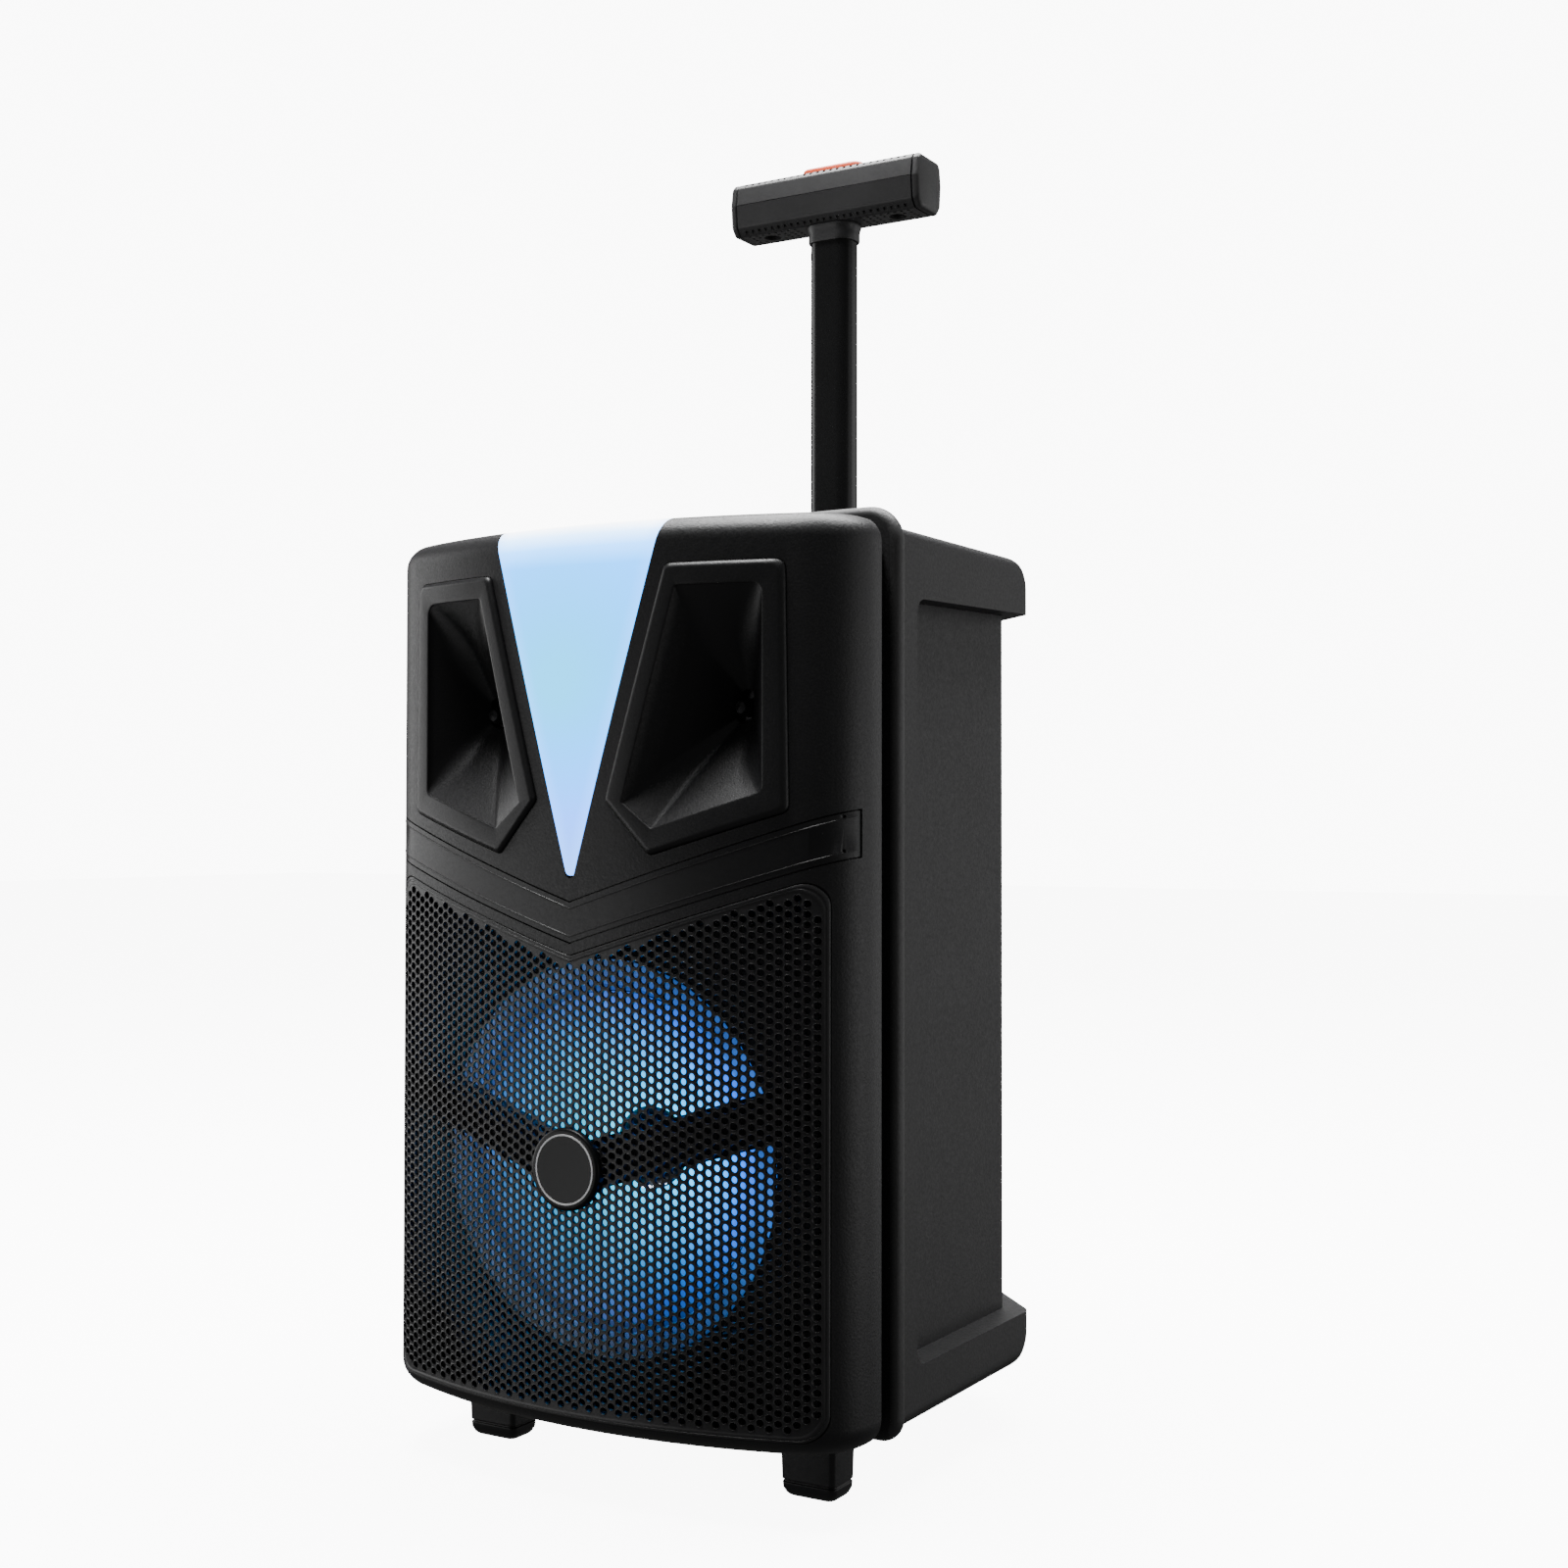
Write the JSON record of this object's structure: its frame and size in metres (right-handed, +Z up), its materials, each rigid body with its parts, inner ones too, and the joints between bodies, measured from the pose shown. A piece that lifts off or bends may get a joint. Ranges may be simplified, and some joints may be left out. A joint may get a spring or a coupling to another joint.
{
  "type": "party speaker",
  "caption": "Portable trolley party speaker: bowed front with a V-shaped light and horns over a lit, grilled woofer, telescopic pole with T grip, wheels and a control panel on top.",
  "frame": {"origin": "on the floor, under the middle of the whole speaker's box", "axes": "+X to the speaker's right as seen from the front, -Y out of the grille, +Z up"},
  "size_m": [0.252, 0.2534, 0.6402],
  "materials": {
    "front_shell_plastic": "fine leather grain",
    "trim_plastic": "satin",
    "cabinet_plastic": "fine leather grain",
    "grille_plastic": "perforated, satin",
    "horn_plastic": "satin",
    "inner_plastic": "matte",
    "panel_plastic": "satin",
    "grip_plastic": "semi gloss",
    "knob_plastic": "satin",
    "key_rubber": "matte",
    "gloss_plastic": "gloss",
    "foot_plastic": "semi gloss",
    "milky_plastic": "translucent, lit from behind",
    "button_plastic": "satin orange",
    "rubber": "matte",
    "gasket_foam": "foam",
    "cone_paper": "coated paper",
    "spider_cloth": "woven, resin dipped",
    "copper_wire": "wound wire",
    "painted_steel": "semi gloss black",
    "screw_steel": "blackened",
    "spring_steel": "bright",
    "pressed_steel": "satin",
    "socket_metal": "plated",
    "ferrite": "sintered",
    "circuit_board": "solder mask",
    "battery_wrap": "shrink wrap",
    "hub_plastic": "satin"
  },
  "bodies": {
    "cabinet": {"front_shell": "front_shell_plastic", "chevron_trim": "trim_plastic", "light_lens": "milky_plastic", "light_board": "circuit_board", "woofer_grille": "grille_plastic", "badge": "gloss_plastic", "left_horn": "horn_plastic", "right_horn": "horn_plastic", "left_tweeter": "pressed_steel", "right_tweeter": "pressed_steel", "woofer_baffle": "inner_plastic", "led_ring": "milky_plastic", "basket": "pressed_steel", "magnet": "ferrite", "surround": "rubber", "spider": "spider_cloth", "rear_cabinet": "cabinet_plastic", "seam_gasket": "gasket_foam", "battery": "battery_wrap", "amplifier_board": "circuit_board", "control_panel": "panel_plastic", "display_window": "gloss_plastic", "usb_socket": "socket_metal", "microphone_socket": "socket_metal", "aux_socket": "socket_metal", "power_plate": "panel_plastic", "dc_socket": "gloss_plastic", "outer_tube": "painted_steel", "tube_bezel": "panel_plastic", "left_foot": "foot_plastic", "right_foot": "foot_plastic", "axle_housing": "inner_plastic", "axle": "painted_steel"},
    "woofer_cone": {"cone": "cone_paper", "dust_cap": "gloss_plastic", "voice_coil": "copper_wire"},
    "left_wheel": {"wheel_hub_left": "hub_plastic", "wheel_tyre_left": "rubber"},
    "right_wheel": {"wheel_hub_right": "hub_plastic", "wheel_tyre_right": "rubber"},
    "treble_knob": {"treble_knob": "knob_plastic"},
    "volume_knob": {"volume_knob": "knob_plastic"},
    "bass_knob": {"bass_knob": "knob_plastic"},
    "mode_button": {"mode_button": "key_rubber"},
    "previous_button": {"previous_button": "key_rubber"},
    "play_button": {"play_button": "key_rubber"},
    "next_button": {"next_button": "key_rubber"},
    "power_rocker": {"power_rocker": "knob_plastic"},
    "handle": {"pole": "painted_steel", "collar": "grip_plastic", "grip_lower": "grip_plastic", "grip_upper": "grip_plastic", "grip_screw_left": "screw_steel", "grip_screw_right": "screw_steel", "end_cap_left": "grip_plastic", "end_cap_right": "grip_plastic", "button_spring": "spring_steel"},
    "release": {"release_button": "button_plastic", "push_rod": "painted_steel"},
    "lock_pin": {"lock_pin": "painted_steel"}
  },
  "joints": [
    {"name": "cone_travel", "type": "slide", "parent": "cabinet", "child": "woofer_cone", "axis": [0, 1, 0], "range_m": [-0.003, 0.003], "stiffness_N_per_m": 2000, "deforming": ["surround", "spider"]},
    {"name": "left_wheel_spin", "type": "hinge", "parent": "cabinet", "child": "left_wheel", "pos_m": [-0.0595, 0.09765, 0.028], "axis": [1, 0, 0], "continuous": true},
    {"name": "right_wheel_spin", "type": "hinge", "parent": "cabinet", "child": "right_wheel", "pos_m": [0.0595, 0.09765, 0.028], "axis": [1, 0, 0], "continuous": true},
    {"name": "treble_knob_turn", "type": "hinge", "parent": "cabinet", "child": "treble_knob", "pos_m": [-0.052, 0.04465, 0.4218], "axis": [0, 0, -1], "range_deg": [-150, 150]},
    {"name": "volume_knob_turn", "type": "hinge", "parent": "cabinet", "child": "volume_knob", "pos_m": [0, 0.04465, 0.4218], "axis": [0, 0, -1], "range_deg": [-150, 150]},
    {"name": "bass_knob_turn", "type": "hinge", "parent": "cabinet", "child": "bass_knob", "pos_m": [0.052, 0.04465, 0.4218], "axis": [0, 0, -1], "range_deg": [-150, 150]},
    {"name": "mode_button_press", "type": "slide", "parent": "cabinet", "child": "mode_button", "axis": [0, 0, -1], "range_m": [0, 0.0012], "stiffness_N_per_m": 900, "springref_m": -0.0005},
    {"name": "previous_button_press", "type": "slide", "parent": "cabinet", "child": "previous_button", "axis": [0, 0, -1], "range_m": [0, 0.0012], "stiffness_N_per_m": 900, "springref_m": -0.0005},
    {"name": "play_button_press", "type": "slide", "parent": "cabinet", "child": "play_button", "axis": [0, 0, -1], "range_m": [0, 0.0012], "stiffness_N_per_m": 900, "springref_m": -0.0005},
    {"name": "next_button_press", "type": "slide", "parent": "cabinet", "child": "next_button", "axis": [0, 0, -1], "range_m": [0, 0.0012], "stiffness_N_per_m": 900, "springref_m": -0.0005},
    {"name": "power_rocker_tilt", "type": "hinge", "parent": "cabinet", "child": "power_rocker", "pos_m": [-0.048, 0.11865, 0.33], "axis": [1, 0, 0], "range_deg": [-8, 8]},
    {"name": "handle_slide", "type": "slide", "parent": "cabinet", "child": "handle", "axis": [0, 0, 1], "range_m": [-0.168, 0.13]},
    {"name": "release_press", "type": "slide", "parent": "handle", "child": "release", "axis": [0, 0, -1], "range_m": [0, 0.002], "stiffness_N_per_m": 900, "springref_m": -0.002, "deforming": ["button_spring"]},
    {"name": "lock_pin_draw", "type": "slide", "parent": "handle", "child": "lock_pin", "axis": [-1, 0, 0], "range_m": [0, 0.002]}
  ],
  "couplings": [
    {"joint": "lock_pin_draw", "follows": "release_press", "ratio": 1}
  ]
}
